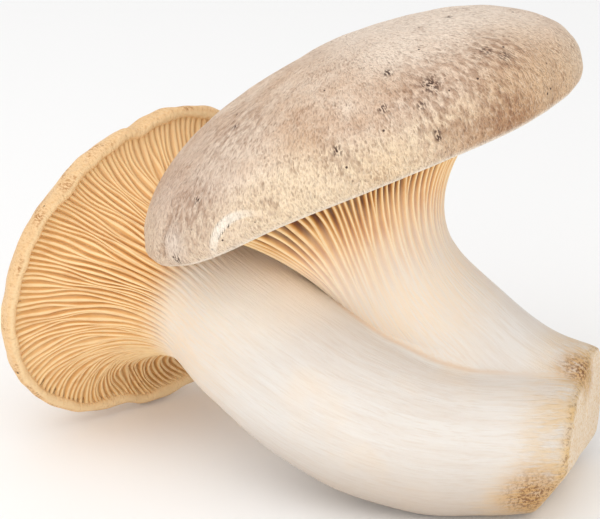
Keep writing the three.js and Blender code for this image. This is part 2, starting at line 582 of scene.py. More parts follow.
class Paint:
    """Builds one finish from shader nodes."""

    spot_core = 0.15
    dot_core = 0.6

    def __init__(self, name: str, base: Colour | None = None) -> None:
        """Starts an empty material.

        Args:
            name: The material's name.
            base: The colour under all others.
        """
        self.material = bpy.data.materials.new(name)
        self.material.use_nodes = True
        self.tree = self.material.node_tree
        self.shader = self.tree.nodes["Principled BSDF"]
        self.here = self.node("ShaderNodeTexCoord", {}, "Object")
        self.tone: Wire | Colour | None = base
        self.bump: Wire | None = None

    def node(
        self, kind: str, inputs: dict[int | str, object], output: int | str = 0, **settings: object
    ) -> Wire:
        """Adds a node.

        Args:
            kind: The node's type.
            inputs: Sockets to link, or values to set, by index or name.
            output: Which output to return.
            **settings: The node's own settings.

        Returns:
            The chosen output socket.
        """
        made = self.tree.nodes.new(kind)
        for key, value in settings.items():
            setattr(made, key, value)
        for key, value in inputs.items():
            if isinstance(value, Wire):
                self.tree.links.new(value, made.inputs[key])
            else:
                made.inputs[key].default_value = value
        return made.outputs[output]

    def attribute(self, name: str, output: str = "Fac") -> Wire:
        """Reads a stored attribute as a number, or as a vector from the output of that name."""
        return self.node("ShaderNodeAttribute", {}, output, attribute_name=name)

    def lengthwise(self, attribute: str, shrink: float) -> Wire:
        """Reads a stored grain whose third length, along the grain, is shrunk."""
        inputs = {"Vector": self.attribute(attribute, "Vector"), "Scale": (1, 1, shrink)}
        return self.node("ShaderNodeMapping", inputs)

    def grain(self, vector: Wire, size: float, detail: float = 3.0, rough: float = 0.55) -> Wire:
        """Reads noise between 0 and 1 with humps of a size in the vector's unit."""
        inputs = {"Vector": vector, "Scale": 1.0 / size, "Detail": detail, "Roughness": rough}
        return self.node("ShaderNodeTexNoise", inputs)

    def strokes(self, width: float, length: float, taps: int = 4) -> Wire:
        """Reads short strokes that lie along the stored fibre direction.

        Args:
            width: The strokes' width in metres.
            length: The strokes' length in metres.
            taps: The number of places along a stroke whose noise is averaged.

        Returns:
            The strokes' tone, near 0.5 with dark strokes below and light ones above.
        """
        run = self.attribute("fibre", "Vector")
        tones = []
        for tap in range(taps):
            reach = (tap / (taps - 1) - 0.5) * length
            offset = self.node("ShaderNodeVectorMath", {0: run, 1: (reach,) * 3}, operation="MULTIPLY")
            moved = self.node("ShaderNodeVectorMath", {0: self.here, 1: offset}, operation="ADD")
            tones.append(self.grain(moved, width, detail=1.0))
        total = tones[0]
        for tone in tones[1:]:
            total = self.math(Rule.PLUS, total, tone)
        return self.math(Rule.OVER, total, float(taps))

    def dots(self, spacing: float, radius: float) -> Wire:
        """Reads small scattered dots.

        Args:
            spacing: How far the dots lie apart, in metres.
            radius: Their radius in metres.

        Returns:
            1 inside a dot and 0 outside.
        """
        inputs = {"Vector": self.here, "Scale": 1.0 / spacing}
        away = self.node("ShaderNodeTexVoronoi", inputs, "Distance", feature="F1")
        return self.step(away, self.dot_core * radius / spacing, radius / spacing, 1.0, 0.0)

    def step(
        self, value: Wire, low: float, high: float, bottom: float = 0.0, top: float = 1.0
    ) -> Wire:
        """Maps a value smoothly from the range low to high to the range bottom to top."""
        inputs = {0: value, 1: low, 2: high, 3: bottom, 4: top}
        return self.node("ShaderNodeMapRange", inputs, interpolation_type="SMOOTHSTEP")

    def math(self, rule: Rule, first: Wire, second: Wire | float) -> Wire:
        """Joins two numbers by a rule."""
        return self.node("ShaderNodeMath", {0: first, 1: second}, operation=rule.value)

    def times(self, first: Wire, second: Wire | float) -> Wire:
        """Multiplies two numbers."""
        return self.math(Rule.TIMES, first, second)

    def mix(self, share: Wire, under: Wire | Colour, over: Wire | Colour) -> Wire:
        """Mixes two colours by a share."""
        return self.node("ShaderNodeMix", {0: share, 6: under, 7: over}, 2, data_type="RGBA")

    def lay(self, share: Wire, over: Wire | Colour) -> None:
        """Lays a colour over the finish's colour so far by a share."""
        self.tone = self.mix(share, self.tone, over)

    def height(self) -> Wire:
        """Gives the height over the table in metres."""
        return self.node("ShaderNodeSeparateXYZ", {0: self.here}, "Z")

    def away(self, point: Point) -> Wire:
        """Gives the distance from a point in metres."""
        inputs = {0: self.here, 1: point}
        return self.node("ShaderNodeVectorMath", inputs, "Value", operation="DISTANCE")

    def near(self, point: Point, reach: float, strength: float = 1.0) -> Wire:
        """Gives a strength at a point, fading to 0 at a reach in metres."""
        return self.step(self.away(point), self.spot_core * reach, reach, strength, 0.0)

    def emboss(self, height: Wire, depth: float, strength: Wire | float) -> None:
        """Adds a bump to the finish's bumps so far.

        Args:
            height: The bump's height, between 0 and 1.
            depth: Its depth in metres.
            strength: How much of it shows.
        """
        inputs = {"Strength": strength, "Distance": depth, "Height": height}
        if self.bump is not None:
            inputs["Normal"] = self.bump
        self.bump = self.node("ShaderNodeBump", inputs)

    def flesh(self, weight: float, reach: Point) -> None:
        """Lets light into the surface.

        Args:
            weight: How much of the light goes in.
            reach: How far red, green and blue light goes in, in metres.
        """
        self.shader.inputs["Subsurface Weight"].default_value = weight
        self.shader.inputs["Subsurface Radius"].default_value = reach
        self.shader.inputs["Subsurface Scale"].default_value = 1.0

    def finish(self, rough: Wire) -> bpy.types.Material:
        """Links the finish's colour, bumps and roughness to its shader.

        Args:
            rough: The roughness.

        Returns:
            The finished material.
        """
        for key, value in (("Base Color", self.tone), ("Normal", self.bump), ("Roughness", rough)):
            self.tree.links.new(value, self.shader.inputs[key])
        return self.material


def colour(red: float, green: float, blue: float) -> Colour:
    """Turns a display colour from 0 to 255 into the linear colour that a shader takes."""
    linear = [((c / 255 + 0.055) / 1.055) ** 2.4 for c in (red, green, blue)]
    return (*linear, 1.0)


# A spot's place, its reach and its strength, in metres
Spot = tuple[Point, float, float]


@dataclass(frozen=True)
class StemFinish:
    """Cream flesh with lengthwise fibres, warmer at the gills and stained at the foot, with painted
    shade near the table and along the crotch, and a painted pool of light at the rear stem's neck.

    The fibres, streaks and rags are sized in millimetres along the stem's grain, the rest in
    metres.
    """

    substance: ClassVar[Substance] = Substance.STEM_FLESH
    flesh: Colour = colour(225, 219, 212)
    shade: Colour = colour(216, 203, 190)
    warm: Colour = colour(238, 214, 184)
    # Painted shade: the flesh darkens towards the table
    low: Colour = colour(188, 170, 152)
    stain: Colour = colour(226, 184, 112)
    tan: Colour = colour(206, 160, 98)
    bruise: Colour = colour(122, 74, 26)
    cut: Colour = colour(252, 231, 206)
    speck: Colour = colour(176, 132, 84)
    # Painted light: a pale pool on the rear stem's neck, under the front cap's edge
    pale: Colour = colour(255, 247, 234)
    # Painted shade along the crease where the two stems meet
    crotch: Colour = colour(214, 178, 138)
    fibre_width: float = 0.45
    streak_width: float = 2.6
    rag_width: float = 0.7
    cloud_size: float = 0.02
    patch_size: float = 0.008
    crumb_size: float = 0.0007
    dot_spacing: float = 0.011
    dot_radius: float = 0.00034
    fibre_depth: float = 0.0003
    wrinkle_depth: float = 0.0012
    bruises: tuple[Spot, ...] = (
        ((0.0520, -0.0465, 0.0100), 0.0095, 0.95),
        ((0.0645, -0.0265, 0.0300), 0.0075, 0.95),
    )
    halo: float = 1.25
    # Where the painted light on the neck lies, its reach and its strength
    neck_painted_light: Spot = ((-0.006, -0.016, 0.052), 0.026, 1.0)

    def tone(self, paint: Paint) -> tuple[Wire, Wire]:
        """Builds the colour of clean stem flesh, which the gills' lower ends share, with its painted
        shade near the table and its painted light at the neck.

        Args:
            paint: The finish that the flesh belongs to.

        Returns:
            The flesh's colour, and its fibres for the bumps.
        """
        fibres = paint.grain(paint.lengthwise("grain", 0.06), self.fibre_width, rough=0.6)
        streaks = paint.grain(paint.lengthwise("grain", 0.05), self.streak_width)
        clouds = paint.grain(paint.here, self.cloud_size)
        tone = paint.mix(paint.step(streaks, 0.38, 0.68, top=0.4), self.flesh, self.shade)
        tone = paint.mix(paint.step(fibres, 0.45, 0.7, top=0.55), tone, self.shade)
        tone = paint.mix(paint.step(clouds, 0.5, 0.75, top=0.35), tone, self.warm)
        # Painted shade: darker low down, near the table
        tone = paint.mix(paint.step(paint.height(), 0.026, 0.002, top=0.7), tone, self.low)
        fray = paint.step(fibres, 0.36, 0.62, bottom=0.45)
        tone = paint.mix(paint.times(paint.attribute("near_gills"), fray), tone, self.warm)
        # Painted light: the pale pool on the neck
        return paint.mix(paint.near(*self.neck_painted_light), tone, self.pale), fibres

    def material(self) -> bpy.types.Material:
        """Builds the stems' finish.

        Returns:
            The finished material.
        """
        paint = Paint("stem_flesh")
        paint.tone, fibres = self.tone(paint)
        rags = paint.grain(paint.lengthwise("grain", 0.16), self.rag_width, 4.0, 0.65)
        patches = paint.grain(paint.here, self.patch_size)
        crumbs = paint.grain(paint.here, self.crumb_size, 4.0, 0.7)
        foot = paint.attribute("foot")
        rim = paint.attribute("rim")
        cut = paint.attribute("cut")
        calm = paint.attribute("calm")
        # Painted shade along the crotch, where the stems' surfaces meet
        paint.lay(paint.times(paint.attribute("crotch_painted_shade"), 0.55), self.crotch)
        worn = paint.step(paint.math(Rule.PLUS, rags, patches), 0.8, 1.25, 0.1, 0.65)
        paint.lay(paint.times(foot, worn), self.stain)
        paint.lay(paint.times(cut, 0.85), self.cut)
        paint.lay(paint.times(rim, 0.45), self.stain)
        specks = paint.step(crumbs, 0.46, 0.66, top=0.7)
        paint.lay(paint.times(rim, specks), self.bruise)
        ragged = paint.step(rags, 0.3, 0.6, bottom=0.4)
        marks = paint.step(crumbs, 0.46, 0.58, top=0.9)
        for point, reach, strength in self.bruises:
            halo = paint.times(paint.near(point, self.halo * reach, strength), ragged)
            paint.lay(halo, self.tan)
            paint.lay(paint.times(paint.near(point, reach), marks), self.bruise)
        pores = paint.step(crumbs, 0.48, 0.62, top=0.9)
        paint.lay(paint.times(cut, pores), self.stain)
        dots = paint.dots(self.dot_spacing, self.dot_radius)
        paint.lay(paint.times(dots, 0.7), self.speck)
        wrinkles = paint.times(rags, paint.math(Rule.LARGER, foot, cut))
        paint.emboss(fibres, self.fibre_depth, paint.times(calm, 0.5))
        paint.emboss(patches, self.wrinkle_depth, 0.25)
        paint.emboss(wrinkles, self.wrinkle_depth, paint.times(calm, 0.7))
        paint.flesh(0.12, (0.0016, 0.0014, 0.0011))
        return paint.finish(paint.step(fibres, 0.3, 0.7, 0.5, 0.62))


@dataclass(frozen=True)
class GillFinish:
    """Pale orange gills with painted highlight on the crests and painted shade in the valleys, cream
    where they meet the stem. Near the cap's edge the valleys take painted shade on the front gills and
    painted light on the rear ones, which also grow paler higher up as painted light.
    """

    substance: ClassVar[Substance] = Substance.GILL_FLESH
    name: str
    # Crest is painted highlight on the blades' crests, side and valley painted shade down their flanks
    # and in their valleys; valley also colours the fine lines, and crest the paler clouds
    crest: Colour
    side: Colour
    valley: Colour
    # Deep is painted shade in the front gills' valleys near the cap's edge, and painted light in the
    # rear ones
    deep: Colour
    stem: StemFinish
    # Painted light: how much paler the gills grow higher up
    painted_light_higher_up: float = 0.0
    line_width: float = 0.5
    line_depth: float = 0.0003
    cloud_size: float = 0.009

    def material(self) -> bpy.types.Material:
        """Builds a cap's gill finish.

        Returns:
            The finished material.
        """
        paint = Paint(self.name, self.valley)
        stem_tone, fibres = self.stem.tone(paint)
        lines = paint.grain(paint.lengthwise("run", 0.08), self.line_width)
        clouds = paint.grain(paint.here, self.cloud_size, 2.0)
        ridge = paint.attribute("ridge")
        # Painted highlight on the crests and painted shade in the valleys, by the ridge's height
        paint.lay(paint.step(ridge, 0.0, 0.7), self.side)
        paint.lay(paint.step(ridge, 0.65, 1.0), self.crest)
        # Near the cap's edge: painted shade in the front valleys, painted light in the rear ones
        paint.lay(paint.step(paint.attribute("edge_valley_painted_shade_and_light"), 0.0, 0.8), self.deep)
        paint.lay(paint.step(lines, 0.42, 0.78, top=0.4), self.valley)
        paint.lay(paint.step(clouds, 0.4, 0.7, top=0.3), self.crest)
        # Painted light: paler higher up, where the front cap shades the rear gills
        paint.lay(paint.step(paint.height(), 0.048, 0.08, top=self.painted_light_higher_up), self.crest)
        paint.lay(paint.attribute("root"), stem_tone)
        paint.emboss(lines, self.line_depth, 0.5)
        paint.emboss(fibres, self.line_depth, 0.4)
        paint.flesh(0.08, (0.0015, 0.0009, 0.0005))
        return paint.finish(paint.step(lines, 0.3, 0.7, 0.5, 0.62))


@dataclass(frozen=True)
class Crescent:
    """A pale nick in the skin, inside one ball and outside another of the same radius.

    Their edges are soft, and the whole nick fades away from its middle by its reach.
    """

    outer: Point
    inner: Point
    middle: Point
    radius: float
    reach: float
    soft: float = 0.0007

    def mask(self, paint: Paint) -> Wire:
        """Draws the nick.

        Args:
            paint: The finish that it belongs to.

        Returns:
            1 inside the nick and 0 outside.
        """
        solid = self.radius - self.soft
        inside = paint.step(paint.away(self.outer), solid, self.radius, 1.0, 0.0)
        outside = paint.step(paint.away(self.inner), solid, self.radius)
        return paint.times(paint.times(inside, outside), paint.near(self.middle, self.reach))


@dataclass(frozen=True)
class CapFinish:
    """Felted skin with fine fibres from its middle outwards, brown mottling and dark specks, painted
    shade in its folds, and on the front cap washes of its own tones with painted light on its top and
    beside a fold.

    The felt and the tufts are strokes of a width and a length in metres.
    """

    substance: ClassVar[Substance] = Substance.CAP_SKIN
    name: str
    light: Colour
    mid: Colour
    dark: Colour
    margin: Colour
    rim: Colour
    contrast: float
    nap: float
    blotches: float
    speck: Colour = colour(82, 57, 44)
    felt: Range = (0.00042, 0.00045)
    tufts: Range = (0.0011, 0.0012)
    cloud_size: float = 0.022
    cloud_depth: float = 0.002
    blotch_size: float = 0.006
    sparse_size: float = 0.012
    speck_spacing: float = 0.0031
    speck_radius: float = 0.00036
    # Spots of the skin's own tones, and on the front cap painted light on its top and on the bulge
    # beside a fold
    tone_washes_and_painted_light: tuple[tuple[Spot, Colour], ...] = ()
    mottles: tuple[Spot, ...] = ()
    clusters: tuple[Spot, ...] = ()
    nick: Crescent | None = None

    def material(self) -> bpy.types.Material:
        """Builds a cap's skin finish.

        Returns:
            The finished material.
        """
        paint = Paint(self.name, self.light)
        felt = paint.strokes(*self.felt)
        tufts = paint.strokes(*self.tufts)
        clouds = paint.grain(paint.here, self.cloud_size, 4.0, 0.6)
        paint.lay(paint.step(clouds, 0.36, 0.66), self.mid)
        thin = paint.step(tufts, 0.35, 0.6, 1.0, 0.6)
        paint.lay(paint.times(paint.attribute("margin"), thin), self.margin)
        for spot, wash in self.tone_washes_and_painted_light:
            paint.lay(paint.near(*spot), wash)
        paint.lay(paint.step(tufts, 0.48, 0.7, top=0.35 * self.contrast), self.dark)
        paint.lay(paint.step(felt, 0.48, 0.68, top=self.contrast), self.dark)
        paint.lay(paint.step(felt, 0.5, 0.36, top=0.3), self.light)
        blotches = paint.grain(paint.here, self.blotch_size, 4.0, 0.65)
        blotches = paint.step(blotches, 0.5, 0.66, top=self.blotches)
        paint.lay(paint.times(blotches, paint.step(felt, 0.4, 0.6)), self.dark)
        tufted = paint.step(tufts, 0.4, 0.6)
        for spot in self.mottles:
            paint.lay(paint.times(paint.near(*spot), tufted), self.dark)
        # Painted shade in the pressed folds
        paint.lay(paint.times(paint.attribute("crease"), 0.6), self.dark)
        grains = paint.step(felt, 0.46, 0.54)
        for spot in self.clusters:
            paint.lay(paint.times(paint.near(*spot), grains), self.speck)
        sparse = paint.step(paint.grain(paint.here, self.sparse_size, 2.0), 0.48, 0.56)
        dots = paint.dots(self.speck_spacing, self.speck_radius)
        paint.lay(paint.times(dots, sparse), self.speck)
        paint.lay(paint.attribute("edge"), self.rim)
        paint.emboss(paint.math(Rule.PLUS, felt, tufts), self.nap, 0.9)
        paint.emboss(clouds, self.cloud_depth, 0.3)
        if self.nick:
            mask = self.nick.mask(paint)
            paint.lay(mask, self.rim)
            paint.emboss(mask, 0.0004, 0.6)
        paint.flesh(0.04, (0.0012, 0.001, 0.0008))
        return paint.finish(paint.step(felt, 0.3, 0.7, 0.6, 0.75))


FRONT_SKIN = CapFinish(
    name="front_cap_skin",
    light=colour(243, 221, 199),
    mid=colour(213, 178, 148),
    dark=colour(140, 92, 58),
    margin=colour(247, 223, 191),
    rim=colour(252, 238, 220),
    contrast=0.34,
    blotches=0.3,
    nap=0.0018,
    tone_washes_and_painted_light=(
        # Painted light: the top of the cap paler
        (((0.030, -0.002, 0.110), 0.045, 0.9), colour(248, 230, 212)),
        # Painted highlight on the bulge beside the left fold
        (((-0.0275, -0.0325, 0.0655), 0.007, 0.8), colour(252, 238, 222)),
        (((-0.030, -0.028, 0.072), 0.030, 0.5), colour(210, 184, 166)),
        (((0.056, -0.030, 0.097), 0.030, 0.8), colour(212, 172, 130)),
        (((0.046, -0.0365, 0.0935), 0.013, 0.65), colour(164, 112, 70)),
        (((0.035, -0.0395, 0.0905), 0.010, 0.5), colour(176, 128, 88)),
        (((0.002, -0.046, 0.077), 0.022, 0.9), colour(249, 224, 190)),
        (((0.020, -0.046, 0.084), 0.013, 0.9), colour(243, 214, 176)),
    ),
    mottles=(
        ((0.030, -0.035, 0.101), 0.018, 0.5),
        ((0.0425, -0.0268, 0.108), 0.012, 0.6),
        ((0.0455, -0.0355, 0.098), 0.009, 0.5),
        ((-0.0154, -0.0244, 0.0897), 0.016, 0.5),
        ((-0.0245, -0.035, 0.0745), 0.012, 0.5),
        ((0.009, -0.043, 0.091), 0.010, 0.35),
        ((-0.0076, -0.0443, 0.0789), 0.006, 0.4),
    ),
    clusters=(
        ((0.028, -0.0342, 0.1031), 0.0035, 1.0),
        ((0.026, -0.0376, 0.0996), 0.0016, 1.0),
        ((0.0406, -0.0266, 0.1084), 0.0024, 0.8),
        ((0.0447, -0.0275, 0.1076), 0.0024, 0.8),
        ((0.0189, -0.0293, 0.1042), 0.0019, 1.0),
        ((0.0177, -0.0378, 0.0988), 0.0018, 1.0),
        ((0.0294, -0.0404, 0.0944), 0.0015, 1.0),
        ((0.0298, -0.0407, 0.0931), 0.0013, 1.0),
        ((0.0076, -0.0427, 0.0908), 0.0019, 1.0),
        ((-0.0149, -0.0238, 0.0897), 0.0015, 1.0),
        ((-0.0232, -0.0349, 0.0765), 0.0017, 1.0),
        ((0.0333, -0.0085, 0.1107), 0.0015, 1.0),
        ((-0.0279, -0.035, 0.0622), 0.002, 1.0),
    ),
    nick=Crescent(
        outer=(-0.0113, -0.0442, 0.0677),
        inner=(-0.0097, -0.0448, 0.0664),
        middle=(-0.0183, -0.0417, 0.0735),
        radius=0.01,
        reach=0.0115,
    ),
)
FRONT_FOLDS = (
    Fold(first=(-31.3, 10.6, 61.8), last=(-30.1, 10.4, 70.5), width=1.1, depth=2.2),
    Fold(first=(56.7, 13.9, 98.0), last=(56.3, 20.3, 107.0), width=2.4, depth=0.8),
    Fold(first=(25, -2, 90), last=(30, 0, 99), width=2.5, depth=0.5),
)
REAR_SKIN = CapFinish(
    name="rear_cap_skin",
    light=colour(242, 208, 164),
    mid=colour(222, 178, 126),
    dark=colour(168, 110, 54),
    margin=colour(234, 194, 142),
    rim=colour(242, 210, 162),
    contrast=0.25,
    blotches=0.85,
    nap=0.0005,
)
STEM_FLESH = StemFinish()
FRONT_GILL_FLESH = GillFinish(
    name="front_gill_flesh",
    crest=colour(252, 220, 168),
    side=colour(238, 180, 98),
    valley=colour(194, 116, 38),
    # Painted shade in the valleys under the cap's edge
    deep=colour(96, 44, 6),
    stem=STEM_FLESH,
)
REAR_GILL_FLESH = GillFinish(
    name="rear_gill_flesh",
    crest=colour(246, 211, 158),
    side=colour(228, 177, 109),
    valley=colour(190, 124, 60),
    # Painted light in the valleys near the cap's edge, lighter than the valley colour
    deep=colour(226, 172, 106),
    stem=STEM_FLESH,
    # Painted light on the upper rear gills
    painted_light_higher_up=0.9,
)


@dataclass
class ShownPiece:
    """A piece that is shown in place of one of the part's solids."""

    name: str
    node: str
    finish: StemFinish | GillFinish | CapFinish

    def show(self, mesh: bpy.types.Mesh) -> bpy.types.Object:
        """Turns a mesh into the piece.

        Args:
            mesh: The piece's mesh, in place.

        Returns:
            The new object.
        """
        mesh.name = self.name
        for polygon in mesh.polygons:
            polygon.use_smooth = True
        mesh.materials.clear()
        mesh.materials.append(self.finish.material())
        piece = bpy.data.objects.new(self.name, mesh)
        bpy.context.scene.collection.objects.link(piece)
        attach(piece, BODY)
        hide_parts(self.node)
        return piece


@dataclass
class StemPair(ShownPiece):
    """Both stems, grown together at the foot and cut off there.

    The cuts are planes, each a place and the direction that is cut away. Depths are millimetres
    below a cut, gaps are differences of the two stems' distances over their radii, and each
    range runs from where its mark starts to where it is full.
    """

    stems: tuple[tuple[StemLine, GillForm], ...]
    cuts: tuple[tuple[Point, Point], ...]
    room: tuple[tuple[float, ...], ...]
    table: float = 0.4
    sides: int = 96
    rows: int = 110
    neck_step: float = 1.5
    neck_reach: float = 0.45
    voxel: float = 0.7
    crotch_reach: float = 0.16
    crotch_spread: float = 0.35
    crotch_run: Range = (0.6, 0.85)
    crotch_passes: int = 60
    skin_passes: int = 8
    cut_facing: Range = (0.8, 0.95)
    cut_depth: Range = (1.5, 0.5)
    calm_gap: Range = (0.02, 0.1)
    # Where the crotch's painted shade lies: the stems' distances and the place along the front stem
    crotch_painted_shade_gap: Range = (0.09, 0.0)
    crotch_painted_shade_run: Range = (0.78, 0.5)
    foot_depth: Range = (17.0, 1.0)
    rim_depth: Range = (3.0, 0.6)

    def tube(self, stem: StemLine, gills: GillForm) -> bmesh.types.BMesh:
        """Makes one stem, thinner where the gills cover it.

        Args:
            stem: The stem's line.
            gills: The gills that cover its upper end.

        Returns:
            The closed stem, cut at the foot and at the table.
        """

        def place(column: Array, row: Array) -> Array:
            """Gives the stem's places.

            Args:
                column: Column numbers of the grid.
                row: Row numbers of the grid.

            Returns:
                Points in metres.
            """
            t = clamp((row - 1) / (self.rows - 2))
            pole = (row == 0) | (row == self.rows)
            side, other = across(stem.tangent(t), np.array(stem.square, float))
            angle = 2.0 * math.pi * column / self.sides
            reach = self.neck_reach * gills.fall
            covered = clamp((gills.start + reach - t) / reach) ** 2
            radius = np.where(pole, 0.0, stem.radius(t) - self.neck_step * covered)
            ring = np.cos(angle)[:, None] * side + np.sin(angle)[:, None] * other
            return home(stem.at(t) + ring * radius[:, None])

        bm, _ = moved_ball(self.sides, self.rows, place)
        planes = (*self.cuts, ((0.0, 0.0, self.table), (0.0, 0.0, -1.0)))
        for point, normal in planes:
            cut = bmesh.ops.bisect_plane(
                bm,
                geom=[*bm.verts, *bm.edges, *bm.faces],
                plane_co=home(np.array(point, float)),
                plane_no=normal,
                clear_outer=True,
            )
            rim = [item for item in cut["geom_cut"] if isinstance(item, bmesh.types.BMEdge)]
            if rim:
                bmesh.ops.contextual_create(bm, geom=rim)
        bmesh.ops.recalc_face_normals(bm, faces=bm.faces)
        return bm

    def joined(self) -> bpy.types.Mesh:
        """Grows the stems together into one even, smooth skin inside the solids' box.

        Returns:
            The skin's mesh.
        """
        both = bmesh.new()
        for stem, gills in self.stems:
            both.from_mesh(mesh_of(self.tube(stem, gills), "stem"))
        rough = bpy.data.objects.new("stem_pair", mesh_of(both, "stem_pair"))
        bpy.context.scene.collection.objects.link(rough)
        remesh = rough.modifiers.new("even", "REMESH")
        remesh.mode = "VOXEL"
        remesh.voxel_size = self.voxel * MM
        graph = bpy.context.evaluated_depsgraph_get()
        mesh = bpy.data.meshes.new_from_object(rough.evaluated_get(graph))
        bpy.data.objects.remove(rough)
        front, rear = (stem.nearest(points_of(mesh)) for stem, _ in self.stems)
        reach = self.crotch_reach + self.crotch_spread * smooth_step(*self.crotch_run, front[0])
        crotch = np.abs(front[1] - rear[1]) < reach
        bm = bmesh.new()
        bm.from_mesh(mesh)
        seam = [vert for vert in bm.verts if crotch[vert.index]]
        for verts, passes in ((seam, self.crotch_passes), (list(bm.verts), self.skin_passes)):
            for _ in range(passes):
                bmesh.ops.smooth_vert(
                    bm, verts=verts, factor=0.5, use_axis_x=True, use_axis_y=True, use_axis_z=True
                )
        low, high = np.array(self.room)
        for vert in bm.verts:
            vert.co = np.clip(vert.co, low, high)
        bm.to_mesh(mesh)
        bm.free()
        return mesh

    def dress(self, mesh: bpy.types.Mesh) -> None:
        """Stores what the stems' finish reads: the grain, the foot, the cut and the gills' end.

        Args:
            mesh: The stems' mesh.
        """
        points = points_of(mesh)
        found = [stem.nearest(points) for stem, _ in self.stems]
        front, rear = found
        in_front = front[1] < rear[1]
        grain = np.empty_like(points)
        blush = np.empty(len(points))
        for mine, (stem, gills), (place, _) in zip((in_front, ~in_front), self.stems, found):
            grain[mine] = stem.grain(points[mine], place[mine])
            blush[mine] = gills.blush(place[mine])
        normals = read_vertices(mesh, "normal")
        depth = np.full(len(points), np.inf)
        cut = np.zeros(len(points))
        for point, normal in self.cuts:
            direction = unit(np.array(normal, float))
            below = (np.array(point, float) - points) @ direction
            depth = np.minimum(depth, below)
            facing = smooth_step(*self.cut_facing, normals @ direction)
            cut = np.maximum(cut, facing * smooth_step(*self.cut_depth, below))
        apart = np.abs(front[1] - rear[1])
        # Painted shade along the crotch, where both stems lie about as far
        crotch_painted_shade = smooth_step(*self.crotch_painted_shade_gap, apart) * smooth_step(*self.crotch_painted_shade_run, front[0])
        store(mesh, "grain", grain)
        store(mesh, "calm", smooth_step(*self.calm_gap, apart))
        store(mesh, "crotch_painted_shade", crotch_painted_shade)
        store(mesh, "near_gills", blush)
        store(mesh, "foot", smooth_step(*self.foot_depth, depth))
        store(mesh, "rim", smooth_step(*self.rim_depth, depth) * (1.0 - cut))
        store(mesh, "cut", cut)

    def build(self) -> bpy.types.Object:
        """Makes and dresses the stems.

        Returns:
            The shown piece.
        """
        mesh = self.joined()
        self.dress(mesh)
        return self.show(mesh)


@dataclass
class CapSkin(ShownPiece):
    """A cap's dome and rolled edge.

    A place's share is 0 at the dome's top, 1 at the edge and 2 where the roll ends inside. The
    humps and lumps are sized in millimetres, and inside the gills the skin keeps clear by a gap.
    """

    form: CapForm
    columns: int = 480
    dome_rows: int = 80
    roll_rows: int = 16
    gap: float = 0.3
    swell: float = 0.35
    broad_humps: float = 17.0
    small_humps: float = 6.0
    lumps: float = 0.0
    lump_size: float = 5.0
    lump_level: float = 0.6
    lump_run: Range = (0.85, 1.0)
    margin_run: Range = (0.9, 1.0)
    edge_run: Range = (1.2, 1.4)
    # How deep a fold is pressed where its painted shade starts and where it is full
    fold_painted_shade_depth: Range = (0.2, 1.5)
    folds: tuple[Fold, ...] = ()
    seed: float = 3.0

    def bulge(self, points: Array, share: Array) -> Array:
        """Gives how far the skin's soft humps and its edge's lumps stand out.

        Args:
            points: Places in millimetres.
            share: How near each place is to the edge.

        Returns:
            Millimetres away from the cap's flesh.
        """
        broad = wander(points, self.broad_humps, self.seed)
        small = wander(points, self.small_humps, self.seed)
        lumps = wander(points, self.lump_size, self.seed) - self.lump_level
        bulge = self.swell * (broad + 0.5 * small - 1)
        return bulge + self.lumps * smooth_step(*self.lump_run, share) * lumps

    def build(self) -> bpy.types.Object:
        """Makes and dresses the cap.

        Returns:
            The shown piece.
        """
        rows = self.dome_rows + self.roll_rows + 2
        form = self.form
        kept: dict[str, Array] = {}

        def place(column: Array, row: Array) -> Array:
            """Gives the cap's places.

            Args:
                column: Column numbers of the grid.
                row: Row numbers of the grid.

            Returns:
                Points in metres.
            """
            angle = 2.0 * math.pi * column / self.columns
            edge = form.edge(angle)
            share = np.sin(clamp(row / self.dome_rows) * math.pi / 2)
            rise = clamp(1 - share ** form.fullness) ** (1 / form.fullness)
            bend = clamp((row - self.dome_rows) / self.roll_rows) * math.pi
            radius = edge * share - form.lip / 2 * (1 - np.cos(bend))
            height = form.height * rise - form.roll * np.sin(bend)
            # The last two rows close the cap over its flesh, inside the gills
            inside = row > self.dome_rows + self.roll_rows
            radius = np.where(inside, (edge - form.lip) / 2, radius)
            height = np.where(inside, form.flesh / 2 + self.gap, height)
            last = row == rows
            radius = np.where(last, 0.0, radius)
            height = np.where(last, form.flesh + self.gap, height)
            points = form.place(angle, radius, height)
            away = unit(points - form.place(angle, radius * 0.0, height * 0.0 - 10.0))
            pressed = np.zeros(len(points))
            for fold in self.folds:
                pressed += fold.press(points)
            bulge = self.bulge(points, share) - pressed
            points = points + away * bulge[:, None] * ~inside[:, None]
            points[:, 2] = np.maximum(points[:, 2], -CLUSTER_SHIFT[2])
            kept["angle"] = angle
            kept["pressed"] = pressed
            kept["share"] = np.where(row <= self.dome_rows, share, 1.0 + bend / math.pi)
            return home(points)

        bm, whole = moved_ball(self.columns, rows, place)
        mesh = mesh_of(bm, self.name)
        angle, share = kept["angle"][whole], kept["share"][whole]
        _, ex, ey = form.axes()
        round_it = np.cos(angle)[:, None] * ey - np.sin(angle)[:, None] * ex
        store(mesh, "fibre", unit(np.cross(round_it, read_vertices(mesh, "normal"))))
        store(mesh, "margin", smooth_step(*self.margin_run, share))
        store(mesh, "edge", smooth_step(*self.edge_run, share))
        # Painted shade in the folds, by how deep they are pressed
        store(mesh, "crease", smooth_step(*self.fold_painted_shade_depth, kept["pressed"][whole]))
        return self.show(mesh)


